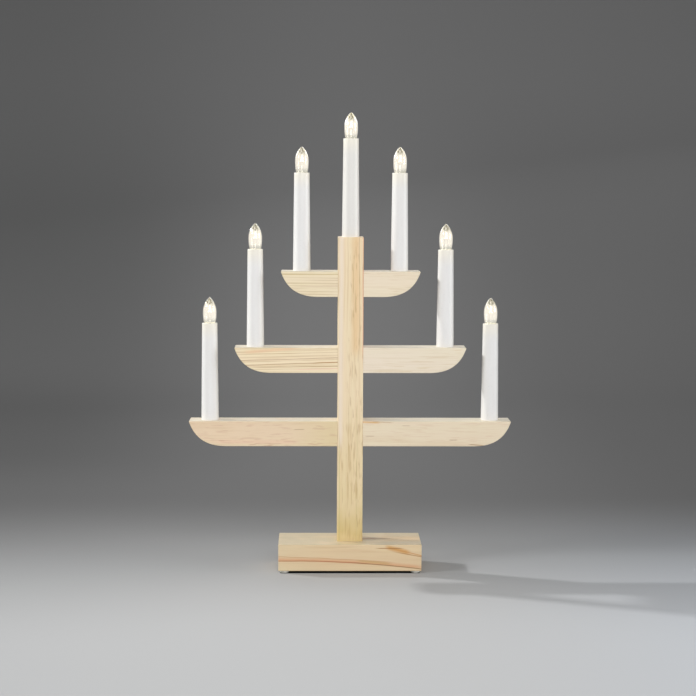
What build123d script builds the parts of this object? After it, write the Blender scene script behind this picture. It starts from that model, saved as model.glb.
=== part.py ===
from build123d import *
import math
import os

# Electric candlestick with seven lights, in pine: a base block, a square post and three pairs
# of half arms dowelled to its sides. Each arm and the post top carry a tapered plastic candle
# with a small screw bulb, and the seven lamps are wired in series in grooves along the back.
# Millimetres. X runs along the arms, -Y is the front, +Z is up. The origin lies on the surface
# that the object stands on, under the middle of the post.

# Base block and its pads
base_width = 160.0
base_depth = 64.0
base_height = 30.0
pad_diameter = 10.0
pad_thickness = 2.4
pad_inset = 6.8
pad_edge_round = 0.4

# Post and half arms, cut from one stock
post_width = 28.4
stock_depth = 28.4
post_length = 341.8
arm_height = 28.4
lower_arm_rise = 136.5
middle_arm_rise = 219.1
upper_arm_rise = 304.0
lower_arm_span = 180.3
middle_span_share = 0.7176
upper_span_share = 0.4308
wood_edge_round = 0.7

# The upswept nose of an arm, with its curve as shares of its length and of the arm height
nose_length = 42.0
nose_tip_round = 0.9
nose_run_share = 0.476
nose_lean_share = 0.155
nose_lift_share = 0.30

# Dowels through the post into both arms, and screws up through the base
dowel_diameter = 8.0
dowel_grip = 20.0
dowel_spacing = 13.0
dowel_forward = 3.0
dowel_chamfer = 0.8
hole_end_gap = 1.0
screw_spacing = 15.0
screw_forward = 3.0
screw_length = 56.0
screw_point_length = 7.0
screw_shank_diameter = 4.2
screw_head_diameter = 8.8
screw_head_height = 3.2
screw_recess_depth = 5.0
screw_slot_length = 4.6
screw_slot_width = 0.9
screw_slot_depth = 1.8
wood_fit = 0.05

# Candle sleeve
candle_inset = 23.2
sleeve_height = 108.7
sleeve_foot_diameter = 19.5
sleeve_top_diameter = 17.1
sleeve_wall = 1.2
sleeve_mouth_diameter = 14.2
sleeve_mouth_depth = 8.0
sleeve_rim_round = 0.65

# Foot plug that carries the sleeve and enters the wood
plug_collar_height = 12.0
plug_spigot_diameter = 10.0
plug_spigot_length = 9.0
plug_wire_bore = 5.2
plug_lead_in = 0.8
seat_depth = 12.0
plastic_fit = 0.05

# Lamp holder, threaded shell and centre contact, inside the sleeve
holder_floor = 3.6
holder_mouth_bevel = 1.2
shell_length = 9.6
shell_wall = 0.3
shell_depth = 0.4
thread_fit = 0.08
contact_disc_diameter = 6.0
contact_disc_thickness = 0.5
contact_rivet_diameter = 0.8
contact_rivet_length = 1.2

# Screw bulb: glass, cap, insulator with its solder tip, and the filament on its stem
bulb_diameter = 15.0
bulb_rise = 28.5
bulb_sink = 7.0
glass_wall = 0.6
neck_length = 2.5
cap_diameter = 9.44
cap_length = 9.2
cap_wall = 0.3
cap_cone_height = 1.0
thread_depth = 0.45
insulator_plug = 0.8
insulator_height = 1.9
insulator_end_diameter = 4.4
tip_diameter = 3.4
tip_height = 0.9
tip_edge = 0.3
tip_shank_diameter = 1.4
tip_shank_length = 2.2
bulb_fit = 0.05
stem_length = 9.5
stem_skirt = 0.6
stem_flare_length = 3.2
stem_waist_diameter = 4.0
support_wire_diameter = 0.5
support_wire_spread = 3.0
support_wire_rise = 12.0
filament_diameter = 0.6

# Outline of the glass: where it is widest, as a share of its rise above the sleeve, its radius
# at the sleeve's rim as a share of the widest one, and the rounding of its tip
bulb_widest_share = 0.44
bulb_rim_share = 0.87
bulb_tip_radius = 1.6

# Wiring in the grooves, its clips, and the bush that a mains lead passes
wire_diameter = 1.8
wire_spacing = 3.0
wire_bend_radius = 4.0
wire_mouth_radius = 2.7
wire_drop_radius = 5.0
wire_end_depth = 2.0
groove_width = 7.0
groove_depth = 3.6
groove_fit = 0.1
cross_bore_diameter = 9.0
lead_hole_diameter = 5.2
clip_length = 5.0
clip_thickness = 2.3
clip_channel_fit = 0.1
clip_pitch = 62.0
bush_flange_diameter = 12.0
bush_flange_thickness = 2.0
bush_body_diameter = 8.0
bush_length = 9.0
bush_bore = 5.6
bush_edge_round = 0.6

# Cuts run this far past the faces that they open
overrun = 1.0

# Places that follow from the sizes above
base_top = pad_thickness + base_height
post_top = base_top + post_length
post_side = post_width / 2
back_face = stock_depth / 2
base_back = base_depth / 2
cord_height = pad_thickness + base_height / 2
wire_drop = arm_height / 2
wire_offset = wire_spacing / 2
wire_back = back_face - groove_depth + groove_fit + wire_diameter / 2
screw_face = pad_thickness + screw_recess_depth

# Places in a candle, as heights above the wood that it stands on
holder_top = sleeve_height - sleeve_mouth_depth - plastic_fit
shell_top = holder_top - shell_depth
cap_top = sleeve_height - bulb_sink
cap_bottom = cap_top - cap_length
insulator_bottom = cap_bottom - insulator_height
tip_bottom = insulator_bottom - tip_height
contact_top = tip_bottom - bulb_fit
floor_top = contact_top - contact_disc_thickness
holder_bottom = floor_top - holder_floor
neck_bottom = cap_top - neck_length

# Radii that fit one inside the next, from the cap outwards and inwards
cap_radius = cap_diameter / 2
cap_inside = cap_radius - cap_wall
cap_foot_radius = cap_radius - thread_depth
insulator_radius = cap_foot_radius - cap_wall - bulb_fit
neck_radius = cap_inside - bulb_fit
shell_inside = cap_radius + thread_fit
shell_radius = shell_inside + shell_wall

# Every level of arms: its name, the height of its top face and its reach from the middle
arm_levels = (
    ("lower", base_top + lower_arm_rise, lower_arm_span),
    ("middle", base_top + middle_arm_rise, middle_span_share * lower_arm_span),
    ("upper", base_top + upper_arm_rise, upper_span_share * lower_arm_span),
)
arm_sides = (("left", -1), ("right", 1))

# Every candle: its name, its place along X and the height of the wood that it stands on
candle_places = [("top", 0, post_top)]
for level, seat, span in arm_levels:
    for side, sign in arm_sides:
        candle_places.append((f"{level}_{side}", sign * (span - candle_inset), seat))


def bar_along_x(diameter, low, high, y, z):
    return Pos((low + high) / 2, y, z) * Rot(0, 90, 0) * Cylinder(diameter / 2, high - low)


def bar_along_y(diameter, x, low, high, z):
    return Pos(x, (low + high) / 2, z) * Rot(90, 0, 0) * Cylinder(diameter / 2, high - low)


def bar_along_z(diameter, x, y, low, high):
    return Pos(x, y, (low + high) / 2) * Cylinder(diameter / 2, high - low)


def block_between(x_low, x_high, y_low, y_high, z_low, z_high):
    middle = Pos((x_low + x_high) / 2, (y_low + y_high) / 2, (z_low + z_high) / 2)
    return middle * Box(x_high - x_low, y_high - y_low, z_high - z_low)


def outline_of(points):
    """A closed face in the XY plane from (radius, height) points."""
    return make_face(Polyline(points, close=True))


def turned(face):
    """A solid of revolution about Z from a face of radius against height."""
    return revolve(Plane.XZ * face, Axis.Z)


def wood_screw(fit=0):
    """A countersunk screw that points up from the face of its head, or its hole."""
    head = screw_head_diameter / 2 + fit
    shank = screw_shank_diameter / 2 + fit
    taper_start = screw_length - screw_point_length
    return turned(outline_of([
        (0, 0),
        (head, 0),
        (shank, screw_head_height),
        (shank, taper_start),
        (0, screw_length + fit),
    ]))


def screw_places():
    return [Pos(side * screw_spacing / 2, -screw_forward, screw_face) for side in (-1, 1)]


def make_base():
    side = base_width / 2
    block = block_between(-side, side, -base_back, base_back, pad_thickness, base_top)
    block = fillet(block.edges(), wood_edge_round)
    for place in screw_places():
        block -= place * wood_screw(wood_fit)
        recess = bar_along_z(screw_head_diameter + 2 * wood_fit, 0, 0, -screw_recess_depth - overrun, 0)
        block -= place * recess
    block -= bar_along_z(lead_hole_diameter, 0, wire_back, cord_height, base_top + overrun)
    hole_start = wire_back - lead_hole_diameter / 2 - hole_end_gap
    hole_diameter = bush_body_diameter + 2 * plastic_fit
    block -= bar_along_y(hole_diameter, 0, hole_start, base_back + overrun, cord_height)
    flange_start = base_back - bush_flange_thickness
    flange_diameter = bush_flange_diameter + 2 * plastic_fit
    block -= bar_along_y(flange_diameter, 0, flange_start, base_back + overrun, cord_height)
    return block


def make_pads():
    pads = []
    for side_x in (-1, 1):
        for side_y in (-1, 1):
            x = side_x * (base_width / 2 - pad_inset)
            y = side_y * (base_depth / 2 - pad_inset)
            pad = bar_along_z(pad_diameter, x, y, 0, pad_thickness)
            pads.append(chamfer(pad.edges().group_by(Axis.Z)[0], pad_edge_round))
    return pads


def make_screws():
    screws = []
    for place in screw_places():
        screw = wood_screw()
        slot = block_between(
            -screw_slot_length / 2, screw_slot_length / 2,
            -screw_slot_width / 2, screw_slot_width / 2,
            -overrun, screw_slot_depth,
        )
        screws.append(place * (screw - slot - Rot(0, 0, 90) * slot))
    return screws


def candle_seat(x, seat):
    """The bore for a candle's plug, and the cross bore that leads its wires to the back."""
    bore = bar_along_z(plug_spigot_diameter + 2 * plastic_fit, x, 0, seat - seat_depth, seat + overrun)
    cross = bar_along_y(cross_bore_diameter, x, -wire_diameter, back_face + overrun, seat - wire_drop)
    return bore + cross


def groove_between(x_low, x_high, z_low, z_high):
    return block_between(x_low, x_high, back_face - groove_depth, back_face + overrun, z_low, z_high)


def dowel_heights(seat):
    middle = seat - arm_height / 2
    return (middle - dowel_spacing / 2, middle + dowel_spacing / 2)


def make_post():
    body = block_between(-post_side, post_side, -back_face, back_face, base_top, post_top)
    body = fillet(body.edges() - body.edges().group_by(Axis.Z)[0], wood_edge_round)
    half_groove = groove_width / 2
    body -= groove_between(-half_groove, half_groove, base_top - overrun, post_top - wire_drop)
    body -= candle_seat(0, post_top)
    for level, seat, span in arm_levels:
        middle = seat - wire_drop
        reach = post_side + overrun
        body -= groove_between(-reach, reach, middle - half_groove, middle + half_groove)
        for height in dowel_heights(seat):
            body -= bar_along_x(dowel_diameter + 2 * wood_fit, -reach, reach, -dowel_forward, height)
    for place in screw_places():
        body -= place * wood_screw(wood_fit)
    return body


def arm_outline(seat, span):
    bottom = seat - arm_height
    curve_start = (span - nose_length, bottom)
    nose = Bezier(
        curve_start,
        (span - nose_run_share * nose_length, bottom),
        (span - nose_lean_share * nose_length, bottom + nose_lift_share * arm_height),
        (span, seat),
    )
    underside = Line((post_side, bottom), curve_start)
    top_and_joint = Polyline((span, seat), (post_side, seat), (post_side, bottom))
    return make_face([underside, nose, top_and_joint])


def make_half_arm(sign, seat, span):
    """The right half arm, or the left one as its mirror image."""
    arm = extrude(Plane.XZ * arm_outline(seat, span), stock_depth / 2, both=True)
    arm = fillet(arm.edges().filter_by(Axis.Y).sort_by(Axis.X)[-1], nose_tip_round)
    joint_edges = arm.faces().sort_by(Axis.X)[0].edges()
    arm = fillet(arm.faces().filter_by(Axis.Y).edges() - joint_edges, wood_edge_round)
    middle = seat - wire_drop
    candle_x = span - candle_inset
    half_groove = groove_width / 2
    arm -= groove_between(post_side - overrun, candle_x, middle - half_groove, middle + half_groove)
    arm -= candle_seat(candle_x, seat)
    hole_diameter = dowel_diameter + 2 * wood_fit
    hole_end = post_side + dowel_grip + hole_end_gap
    for height in dowel_heights(seat):
        arm -= bar_along_x(hole_diameter, post_side - overrun, hole_end, -dowel_forward, height)
    return arm if sign > 0 else mirror(arm, Plane.YZ)


def make_dowels():
    dowels = []
    reach = post_side + dowel_grip
    for level, seat, span in arm_levels:
        for height in dowel_heights(seat):
            dowel = bar_along_x(dowel_diameter, -reach, reach, -dowel_forward, height)
            dowels.append(chamfer(dowel.edges().filter_by(GeomType.CIRCLE), dowel_chamfer))
    return dowels


def sleeve_radius(height):
    foot = sleeve_foot_diameter / 2
    return foot + (sleeve_top_diameter / 2 - foot) * height / sleeve_height


def sleeve_inside(height):
    return sleeve_radius(height) - sleeve_wall


def make_sleeve():
    shoulder = sleeve_height - sleeve_mouth_depth
    mouth = sleeve_mouth_diameter / 2
    face = outline_of([
        (sleeve_inside(0), 0),
        (sleeve_radius(0), 0),
        (sleeve_radius(sleeve_height), sleeve_height),
        (mouth, sleeve_height),
        (mouth, shoulder),
        (sleeve_inside(shoulder), shoulder),
    ])
    return turned(fillet(face.vertices().group_by(Axis.Y)[-1], sleeve_rim_round))


def make_foot_plug():
    spigot = plug_spigot_diameter / 2
    bore = plug_wire_bore / 2
    return turned(outline_of([
        (bore, -plug_spigot_length),
        (spigot - plug_lead_in, -plug_spigot_length),
        (spigot, plug_lead_in - plug_spigot_length),
        (spigot, 0),
        (sleeve_inside(0) - plastic_fit, 0),
        (sleeve_inside(plug_collar_height) - plastic_fit, plug_collar_height - plug_lead_in),
        (sleeve_inside(plug_collar_height) - plastic_fit - plug_lead_in, plug_collar_height),
        (bore, plug_collar_height),
    ]))


def make_holder():
    cavity = shell_radius + plastic_fit
    body = turned(outline_of([
        (0, holder_bottom),
        (sleeve_inside(holder_bottom) - plastic_fit, holder_bottom),
        (sleeve_inside(holder_top) - plastic_fit, holder_top),
        (cavity + holder_mouth_bevel, holder_top),
        (cavity, holder_top - holder_mouth_bevel / 2),
        (cavity, floor_top),
        (0, floor_top),
    ]))
    wire_hole = wire_diameter + 2 * plastic_fit
    hole_top = holder_bottom + wire_end_depth + plastic_fit
    for side in (-1, 1):
        body -= bar_along_z(wire_hole, side * wire_offset, 0, holder_bottom - overrun, hole_top)
    rivet_hole = contact_rivet_diameter + 2 * plastic_fit
    body -= bar_along_z(rivet_hole, 0, 0, floor_top - contact_rivet_length, floor_top + overrun)
    return body


def make_shell():
    bottom = shell_top - shell_length
    return turned(outline_of([
        (shell_inside, bottom),
        (shell_radius, bottom),
        (shell_radius, shell_top),
        (shell_inside, shell_top),
    ]))


def make_centre_contact():
    disc = contact_disc_diameter / 2
    rivet = contact_rivet_diameter / 2
    rivet_end = floor_top - contact_rivet_length + plastic_fit
    return turned(outline_of([
        (0, rivet_end),
        (rivet, rivet_end),
        (rivet, floor_top),
        (disc, floor_top),
        (disc, contact_top),
        (0, contact_top),
    ]))


def glass_curve(inset):
    """One face of the glass, from the top of its neck to its tip, set in by the wall or by none."""
    radius = bulb_diameter / 2
    widest = sleeve_height + bulb_widest_share * bulb_rise
    tip_middle = sleeve_height + bulb_rise - bulb_tip_radius
    rise = tip_middle - widest
    ogive_radius = (radius**2 + rise**2 - bulb_tip_radius**2) / (2 * (radius - bulb_tip_radius))
    turn = math.degrees(math.atan2(rise, ogive_radius - radius))
    rim_point = (bulb_rim_share * radius - inset, sleeve_height)
    body = TangentArc((radius - inset, widest), rim_point, tangent=(0, -1))
    shoulder = TangentArc(rim_point, (neck_radius - inset, cap_top), tangent=body % 1)
    ogive = CenterArc((radius - ogive_radius, widest), ogive_radius - inset, 0, turn)
    tip = CenterArc((0, tip_middle), bulb_tip_radius - inset, turn, 90 - turn)
    return [shoulder, body, ogive, tip]


def make_glass():
    outside = glass_curve(0)
    inside = glass_curve(glass_wall)
    wall_at_tip = Line(outside[-1] @ 1, inside[-1] @ 1)
    neck = Polyline(
        inside[0] @ 1,
        (neck_radius - glass_wall, neck_bottom),
        (neck_radius, neck_bottom),
        outside[0] @ 1,
    )
    return turned(make_face([*outside, wall_at_tip, *inside, neck]))


def make_cap():
    """The cap at the crests of its thread, drawn in at the foot to the depth of the thread."""
    return turned(outline_of([
        (cap_foot_radius - cap_wall, cap_bottom),
        (cap_foot_radius, cap_bottom),
        (cap_radius, cap_bottom + cap_cone_height),
        (cap_radius, cap_top),
        (cap_inside, cap_top),
        (cap_inside, cap_bottom + cap_cone_height),
    ]))


def make_bulb_contact():
    """The insulator that closes the cap, and the solder tip riveted through it."""
    bore = tip_shank_diameter / 2 + bulb_fit
    insulator = turned(outline_of([
        (bore, insulator_bottom),
        (insulator_end_diameter / 2, insulator_bottom),
        (insulator_radius, cap_bottom),
        (insulator_radius, cap_bottom + insulator_plug),
        (bore, cap_bottom + insulator_plug),
    ]))
    tip_radius = tip_diameter / 2
    tip = turned(outline_of([
        (0, tip_bottom),
        (tip_radius - tip_edge, tip_bottom),
        (tip_radius, tip_bottom + tip_edge),
        (tip_radius, insulator_bottom),
        (tip_shank_diameter / 2, insulator_bottom),
        (tip_shank_diameter / 2, insulator_bottom + tip_shank_length),
        (0, insulator_bottom + tip_shank_length),
    ]))
    return [insulator, tip]


def make_filament():
    """The glass stem in the neck, its two support wires and the filament between them."""
    skirt = neck_radius - glass_wall - bulb_fit
    waist = stem_waist_diameter / 2
    stem_top = neck_bottom + stem_length
    stem = turned(outline_of([
        (0, neck_bottom),
        (skirt, neck_bottom),
        (skirt, neck_bottom + stem_skirt),
        (waist, neck_bottom + stem_skirt + stem_flare_length),
        (waist, stem_top),
        (0, stem_top),
    ]))
    reach = support_wire_spread / 2
    wires_top = stem_top + support_wire_rise
    wires = [
        bar_along_z(support_wire_diameter, side * reach, 0, stem_top, wires_top) for side in (-1, 1)
    ]
    bow = Plane.XZ * CenterArc((0, wires_top), reach, 0, 180)
    filament = sweep(Plane(bow @ 0, z_dir=bow % 0) * Circle(filament_diameter / 2), bow)
    return [stem, *wires, filament]


def wire_along(points, radii):
    """A round wire along straight runs joined by arcs."""
    path = FilletPolyline(*points, radius=radii)
    return sweep(Plane(path @ 0, z_dir=path % 0) * Circle(wire_diameter / 2), path)


def wire_drop_points(x, seat, height):
    """From the post's side of a groove to a lamp holder, through the cross bore and the plug."""
    return [
        (x, wire_back, height),
        (x, 0, height),
        (x, 0, seat + holder_bottom + wire_end_depth),
    ]


def make_left_wires():
    """From the mains bush over the left arms to the top candle, one wire from lamp to lamp."""
    cord_end = base_back - bush_length - plastic_fit
    start = [(-wire_offset, cord_end, cord_height), (-wire_offset, wire_back, cord_height)]
    radii = [wire_drop_radius]
    wires = []
    for level, seat, span in arm_levels:
        middle = seat - wire_drop
        candle_x = candle_inset - span
        below = middle - wire_offset
        above = middle + wire_offset
        arrival = [(-wire_offset, wire_back, below)]
        arrival += wire_drop_points(candle_x + wire_offset, seat, below)
        radii += [wire_bend_radius, wire_mouth_radius, wire_drop_radius]
        wires.append(wire_along(start + arrival, radii))
        start = wire_drop_points(candle_x - wire_offset, seat, above)[::-1]
        start.append((-wire_offset, wire_back, above))
        radii = [wire_drop_radius, wire_mouth_radius, wire_bend_radius]
    arrival = wire_drop_points(-wire_offset, post_top, post_top - wire_drop)
    wires.append(wire_along(start + arrival, radii + [wire_bend_radius, wire_drop_radius]))
    return wires


def make_wires():
    left = make_left_wires()
    return left + [mirror(wire, Plane.YZ) for wire in left]


def make_clip():
    """A moulded bar that fits across a groove over the two wires, along Z at the origin."""
    half_width = groove_width / 2 - wood_fit
    half_length = clip_length / 2
    clip = block_between(
        -half_width, half_width, wire_back, wire_back + clip_thickness, -half_length, half_length
    )
    channel = wire_diameter + 2 * clip_channel_fit
    for side in (-1, 1):
        cut = half_length + overrun
        clip -= bar_along_z(channel, side * wire_offset, wire_back, -cut, cut)
    return clip


def spread_between(low, high):
    """Evenly spaced places between two ends, no further apart than the clip pitch."""
    gaps = int((high - low) / clip_pitch) + 2
    return [low + (high - low) * step / gaps for step in range(1, gaps)]


def make_clips():
    clips = []
    half_groove = groove_width / 2
    run_start = base_top
    for level, seat, span in arm_levels:
        middle = seat - wire_drop
        clips += [Pos(0, 0, z) * make_clip() for z in spread_between(run_start, middle - half_groove)]
        run_start = middle + half_groove
        hole_edge = span - candle_inset - cross_bore_diameter / 2
        for x in spread_between(post_side, hole_edge):
            for side in (-1, 1):
                clips.append(Pos(side * x, 0, middle) * Rot(0, 90, 0) * make_clip())
    return clips


def make_bush():
    flange = bush_flange_diameter / 2
    body = bush_body_diameter / 2
    bore = bush_bore / 2
    face = outline_of([
        (bore, -bush_length),
        (body, -bush_length),
        (body, -bush_flange_thickness),
        (flange, -bush_flange_thickness),
        (flange, 0),
        (bore, 0),
    ])
    rim = face.vertices().group_by(Axis.Y)[-1].sort_by(Axis.X)[-1]
    return Pos(0, base_back, cord_height) * Rot(-90, 0, 0) * turned(chamfer(rim, bush_edge_round))


nodes = {
    "base_block": [make_base()],
    "foot_pads": make_pads(),
    "base_screws": make_screws(),
    "post": [make_post()],
    "arm_dowels": make_dowels(),
    "series_wiring": make_wires(),
    "wire_clips": make_clips(),
    "cord_bush": [make_bush()],
}
for level, seat, span in arm_levels:
    for side, sign in arm_sides:
        nodes[f"arm_{level}_{side}"] = [make_half_arm(sign, seat, span)]

# Seven like candles. The sleeves, holders and bulb pieces are nodes of their own, and the small
# pieces that stay hidden inside a candle share one node for each kind
candle_pieces = {
    "candle_sleeve": [make_sleeve()],
    "lamp_holder": [make_holder()],
    "bulb_glass": [make_glass()],
    "bulb_cap": [make_cap()],
    "bulb_filament": make_filament(),
    "bulb_contact": make_bulb_contact(),
}
shared_pieces = {
    "candle_foot_plugs": make_foot_plug(),
    "holder_shells": make_shell(),
    "holder_contacts": make_centre_contact(),
}
for place_name, x, seat in candle_places:
    for piece_name, solids in candle_pieces.items():
        nodes[f"{piece_name}_{place_name}"] = [Pos(x, 0, seat) * solid for solid in solids]
for piece_name, solid in shared_pieces.items():
    nodes[piece_name] = [Pos(x, 0, seat) * solid for place_name, x, seat in candle_places]

os.makedirs("parts", exist_ok=True)
for node, solids in nodes.items():
    shape = solids[0] if len(solids) == 1 else Compound(children=solids)
    export_step(shape, f"parts/{node}.step")
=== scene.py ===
import math
from functools import partial

import bmesh
import bpy
from mathutils import Matrix, Vector


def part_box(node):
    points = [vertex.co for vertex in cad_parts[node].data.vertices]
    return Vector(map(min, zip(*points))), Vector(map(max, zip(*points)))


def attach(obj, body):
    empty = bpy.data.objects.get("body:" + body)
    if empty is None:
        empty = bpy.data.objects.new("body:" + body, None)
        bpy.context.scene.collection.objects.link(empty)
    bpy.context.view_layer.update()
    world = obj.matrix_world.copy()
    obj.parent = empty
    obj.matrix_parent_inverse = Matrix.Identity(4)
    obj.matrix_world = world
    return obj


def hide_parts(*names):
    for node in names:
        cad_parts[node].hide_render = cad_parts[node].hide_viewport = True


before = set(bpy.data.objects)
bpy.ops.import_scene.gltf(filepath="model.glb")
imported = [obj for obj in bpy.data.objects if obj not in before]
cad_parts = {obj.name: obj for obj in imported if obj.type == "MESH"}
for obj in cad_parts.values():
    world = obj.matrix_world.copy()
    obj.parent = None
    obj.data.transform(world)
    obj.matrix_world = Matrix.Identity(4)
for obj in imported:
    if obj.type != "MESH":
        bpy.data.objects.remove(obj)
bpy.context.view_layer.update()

# The looks of a seven-light candlestick in pine, made around its fixed frame. Metres, with X
# along the arms, -Y to the front and +Z up.

candle_names = (
    "top", "lower_left", "lower_right", "middle_left", "middle_right", "upper_left", "upper_right",
)

# Rolled thread of the small screw caps, and the room between a cap and its threaded shell
thread_pitch = 0.0254 / 14
thread_depth = 0.00045
thread_fit = 0.00008
metal_wall = 0.0003
turn_steps = 36
profile_steps = 8

# Steps round the glass stem and how much it is pinched flat, and the lead wires
stem_steps = 28
stem_pinch = 0.45
lead_sides = 8
lead_radius = 0.0002

# Places in a bulb, as heights above the lower edge of its cap
cap_lead_in = 0.0009
cap_thread_end = 0.0062
neck_foot = 0.0067

# The upper edge of a cap, drawn in over its last stretch
cap_edge_height = 0.0003
cap_edge_draw = 0.00012

# The threaded shell, whose thread fades in at its foot and out under its plain mouth
shell_height = 0.0096
shell_lead_in = 0.0006
shell_fade_start = 0.0008
shell_fade_end = 0.0001

# Height of the solder under the insulator, and of the glass above the rim of its sleeve
solder_height = 0.0009
glass_rise = 0.0285

# The coil's ends: their height above the foot of the stem, and their distance from the middle
coil_rise = 0.0215
coil_reach = 0.0015

# Depths below its rim down to which the lamp's light is painted into a sleeve, fully and at all,
# and to which a painted glow reaches
bulb_light_full = 0.001
bulb_light_reach = 0.022
bulb_glow_reach = 0.02

# How far the edges of the painted glow in a bulb waver, and the heights between which that grows
glow_waver = 0.0045
waver_start = 0.008
waver_full = 0.018

# Depths of the front faces of the post and arms, and of the base
stock_front = -0.0142
base_front = -0.032

# Depths below the top of a board between which the painted sheen and shade of its top come in
painted_top_full = 0.0001
painted_top_start = 0.0006

# Width of one ring in the renderer's wave texture at scale 1
wave_ring = 0.314159

# The colour that darkens what it is blended with
black = (0.0, 0.0, 0.0, 1.0)


# Materials

def shade(red, green, blue):
    """A colour as it shows on a screen, from 0 to 255, in the renderer's own numbers."""
    return (*(((part / 255 + 0.055) / 1.055) ** 2.4 for part in (red, green, blue)), 1.0)


def start_finish(name):
    """A new material, its node tree and its surface shader."""
    finish = bpy.data.materials.new(name)
    finish.use_nodes = True
    tree = finish.node_tree
    return finish, tree, tree.nodes["Principled BSDF"]


def feed(tree, socket, value):
    """Sets a socket to a plain value, or joins it to the socket that its value comes from."""
    if isinstance(value, bpy.types.NodeSocket):
        tree.links.new(value, socket)
    else:
        socket.default_value = value


def add(tree, kind, sockets=None, **settings):
    """A shader node with its settings made and its sockets fed."""
    made = tree.nodes.new("ShaderNode" + kind)
    for name, value in settings.items():
        setattr(made, name, value)
    for key, value in (sockets or {}).items():
        feed(tree, made.inputs[key], value)
    return made


def cover(tree, surface, sockets):
    """Feeds the sockets of the surface shader."""
    for name, value in sockets.items():
        feed(tree, surface.inputs[name], value)


def maths(tree, operation, *values):
    """The result of one operation on numbers."""
    made = add(tree, "Math", dict(enumerate(values)), operation=operation)
    return made.outputs["Value"]


def vector_maths(tree, operation, *values):
    """The result of one operation on vectors, part by part."""
    made = add(tree, "VectorMath", dict(enumerate(values)), operation=operation)
    return made.outputs["Vector"]


def product(tree, first, second):
    """One number times another."""
    return maths(tree, "MULTIPLY", first, second)


def object_place(tree):
    """The place in the object's own frame."""
    return add(tree, "TexCoord").outputs["Object"]


def axes_of(tree, place):
    """The three parts of a place, as sockets by the names X, Y and Z."""
    return add(tree, "SeparateXYZ", {"Vector": place}).outputs


def stretched(tree, place, across, along):
    """The place with its grain direction Z scaled on its own."""
    return vector_maths(tree, "MULTIPLY", place, (across, across, along))


def speckle(tree, place, scale, detail, roughness=0.5):
    """Soft noise round 0.5."""
    noise = add(tree, "TexNoise", {
        "Vector": place, "Scale": scale, "Detail": detail, "Roughness": roughness,
    })
    return noise.outputs["Fac"]


def spread(tree, value, low, high, to_low=0.0, to_high=1.0):
    """The value carried smoothly from one range to another."""
    made = add(tree, "MapRange", {
        "Value": value, "From Min": low, "From Max": high, "To Min": to_low, "To Max": to_high,
    }, interpolation_type="SMOOTHSTEP")
    return made.outputs["Result"]


def even_share(tree, value, low, high):
    """How far the value has come from a low to a high one, from 0 to 1."""
    made = add(tree, "MapRange", {
        "Value": value, "From Min": low, "From Max": high, "To Min": 0.0, "To Max": 1.0,
    })
    return made.outputs["Result"]


def blended(tree, share, first, second):
    """One colour turning into another with a share."""
    return add(tree, "Mix", {0: share, 6: first, 7: second}, data_type="RGBA").outputs[2]


def ramped(tree, share, stops):
    """The colour at a share of the way through stops, each of them a place and a colour."""
    ramp = add(tree, "ValToRGB", {"Fac": share})
    elements = ramp.color_ramp.elements
    elements[0].position, elements[0].color = stops[0]
    elements[1].position, elements[1].color = stops[-1]
    for position, colour in stops[1:-1]:
        elements.new(position).color = colour
    return ramp.outputs["Color"]


def raised(tree, surface, height, distance, strength):
    """Gives the surface a relief."""
    bump = add(tree, "Bump", {"Height": height, "Distance": distance, "Strength": strength})
    cover(tree, surface, {"Normal": bump.outputs["Normal"]})


# The two ways that a board's grain runs: the turns that bring it to Z, the axes along it and
# across it on the front face, and how fine the ripple of a line on it is
grain_turns = {"upright": (0.0, 0.0, 0.0), "lengthwise": (0.0, -math.pi / 2, 0.0)}
grain_axes = {"upright": ("Z", "X"), "lengthwise": ("X", "Z")}
ripple_scales = {"upright": (120, 60, 40), "lengthwise": (40, 60, 120)}

# A year of wood is pale to nearly half of its ring, darkens from there and ends in a sharp edge
year_tones = (
    (0.46, black), (0.90, (1.0, 1.0, 1.0, 1.0)), (0.96, (1.0, 1.0, 1.0, 1.0)),
    (1.0, (0.1, 0.1, 0.1, 1.0)),
)

# The painted glow seen in a bulb, from the rim of its sleeve to its tip: the lamp's light over most
# of it, a dark band under the tip painted for the dark seen through the clear glass, and a painted
# glint at the very tip
painted_glow_tones = (
    (0.0, shade(184, 180, 164)), (0.09, shade(206, 202, 188)), (0.20, shade(248, 241, 229)),
    (0.74, shade(252, 244, 228)), (0.83, shade(154, 148, 122)), (0.89, shade(46, 42, 28)),
    (0.935, shade(52, 48, 34)), (0.97, shade(244, 240, 226)), (1.0, shade(254, 250, 240)),
)
glass_ior = 1.5


def wandering(tree, place, cloud_place, detail, reach):
    """The place moved sideways, across the grain, by soft noise."""
    noise = add(tree, "TexNoise", {"Vector": cloud_place, "Scale": 1.0, "Detail": detail})
    centred = vector_maths(tree, "SUBTRACT", noise.outputs["Color"], (0.5, 0.5, 0.5))
    return vector_maths(tree, "MULTIPLY_ADD", centred, (reach, reach, 0.0), place)


def pine_rings(tree, run, heart, lean, ring_gap, wander, sway):
    """Growth rings round the heart of the tree: 0 in pale early wood, 1 at the end of a year."""
    mapped = add(tree, "Mapping", {
        "Vector": object_place(tree), "Rotation": Vector(grain_turns[run]) + Vector(lean),
        "Location": heart,
    })
    place = mapped.outputs["Vector"]
    drift = wandering(tree, place, stretched(tree, place, *sway), 1.5, wander)
    close_clouds = stretched(tree, place, 0.42 / ring_gap, 2.0)
    shifted = wandering(tree, drift, close_clouds, 0.0, 1.5 * ring_gap)
    rings = add(tree, "TexWave", {
        "Vector": shifted, "Scale": wave_ring / ring_gap, "Distortion": 0.0,
    }, wave_type="RINGS", rings_direction="Z", wave_profile="SAW")
    return place, rings.outputs["Fac"]


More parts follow.
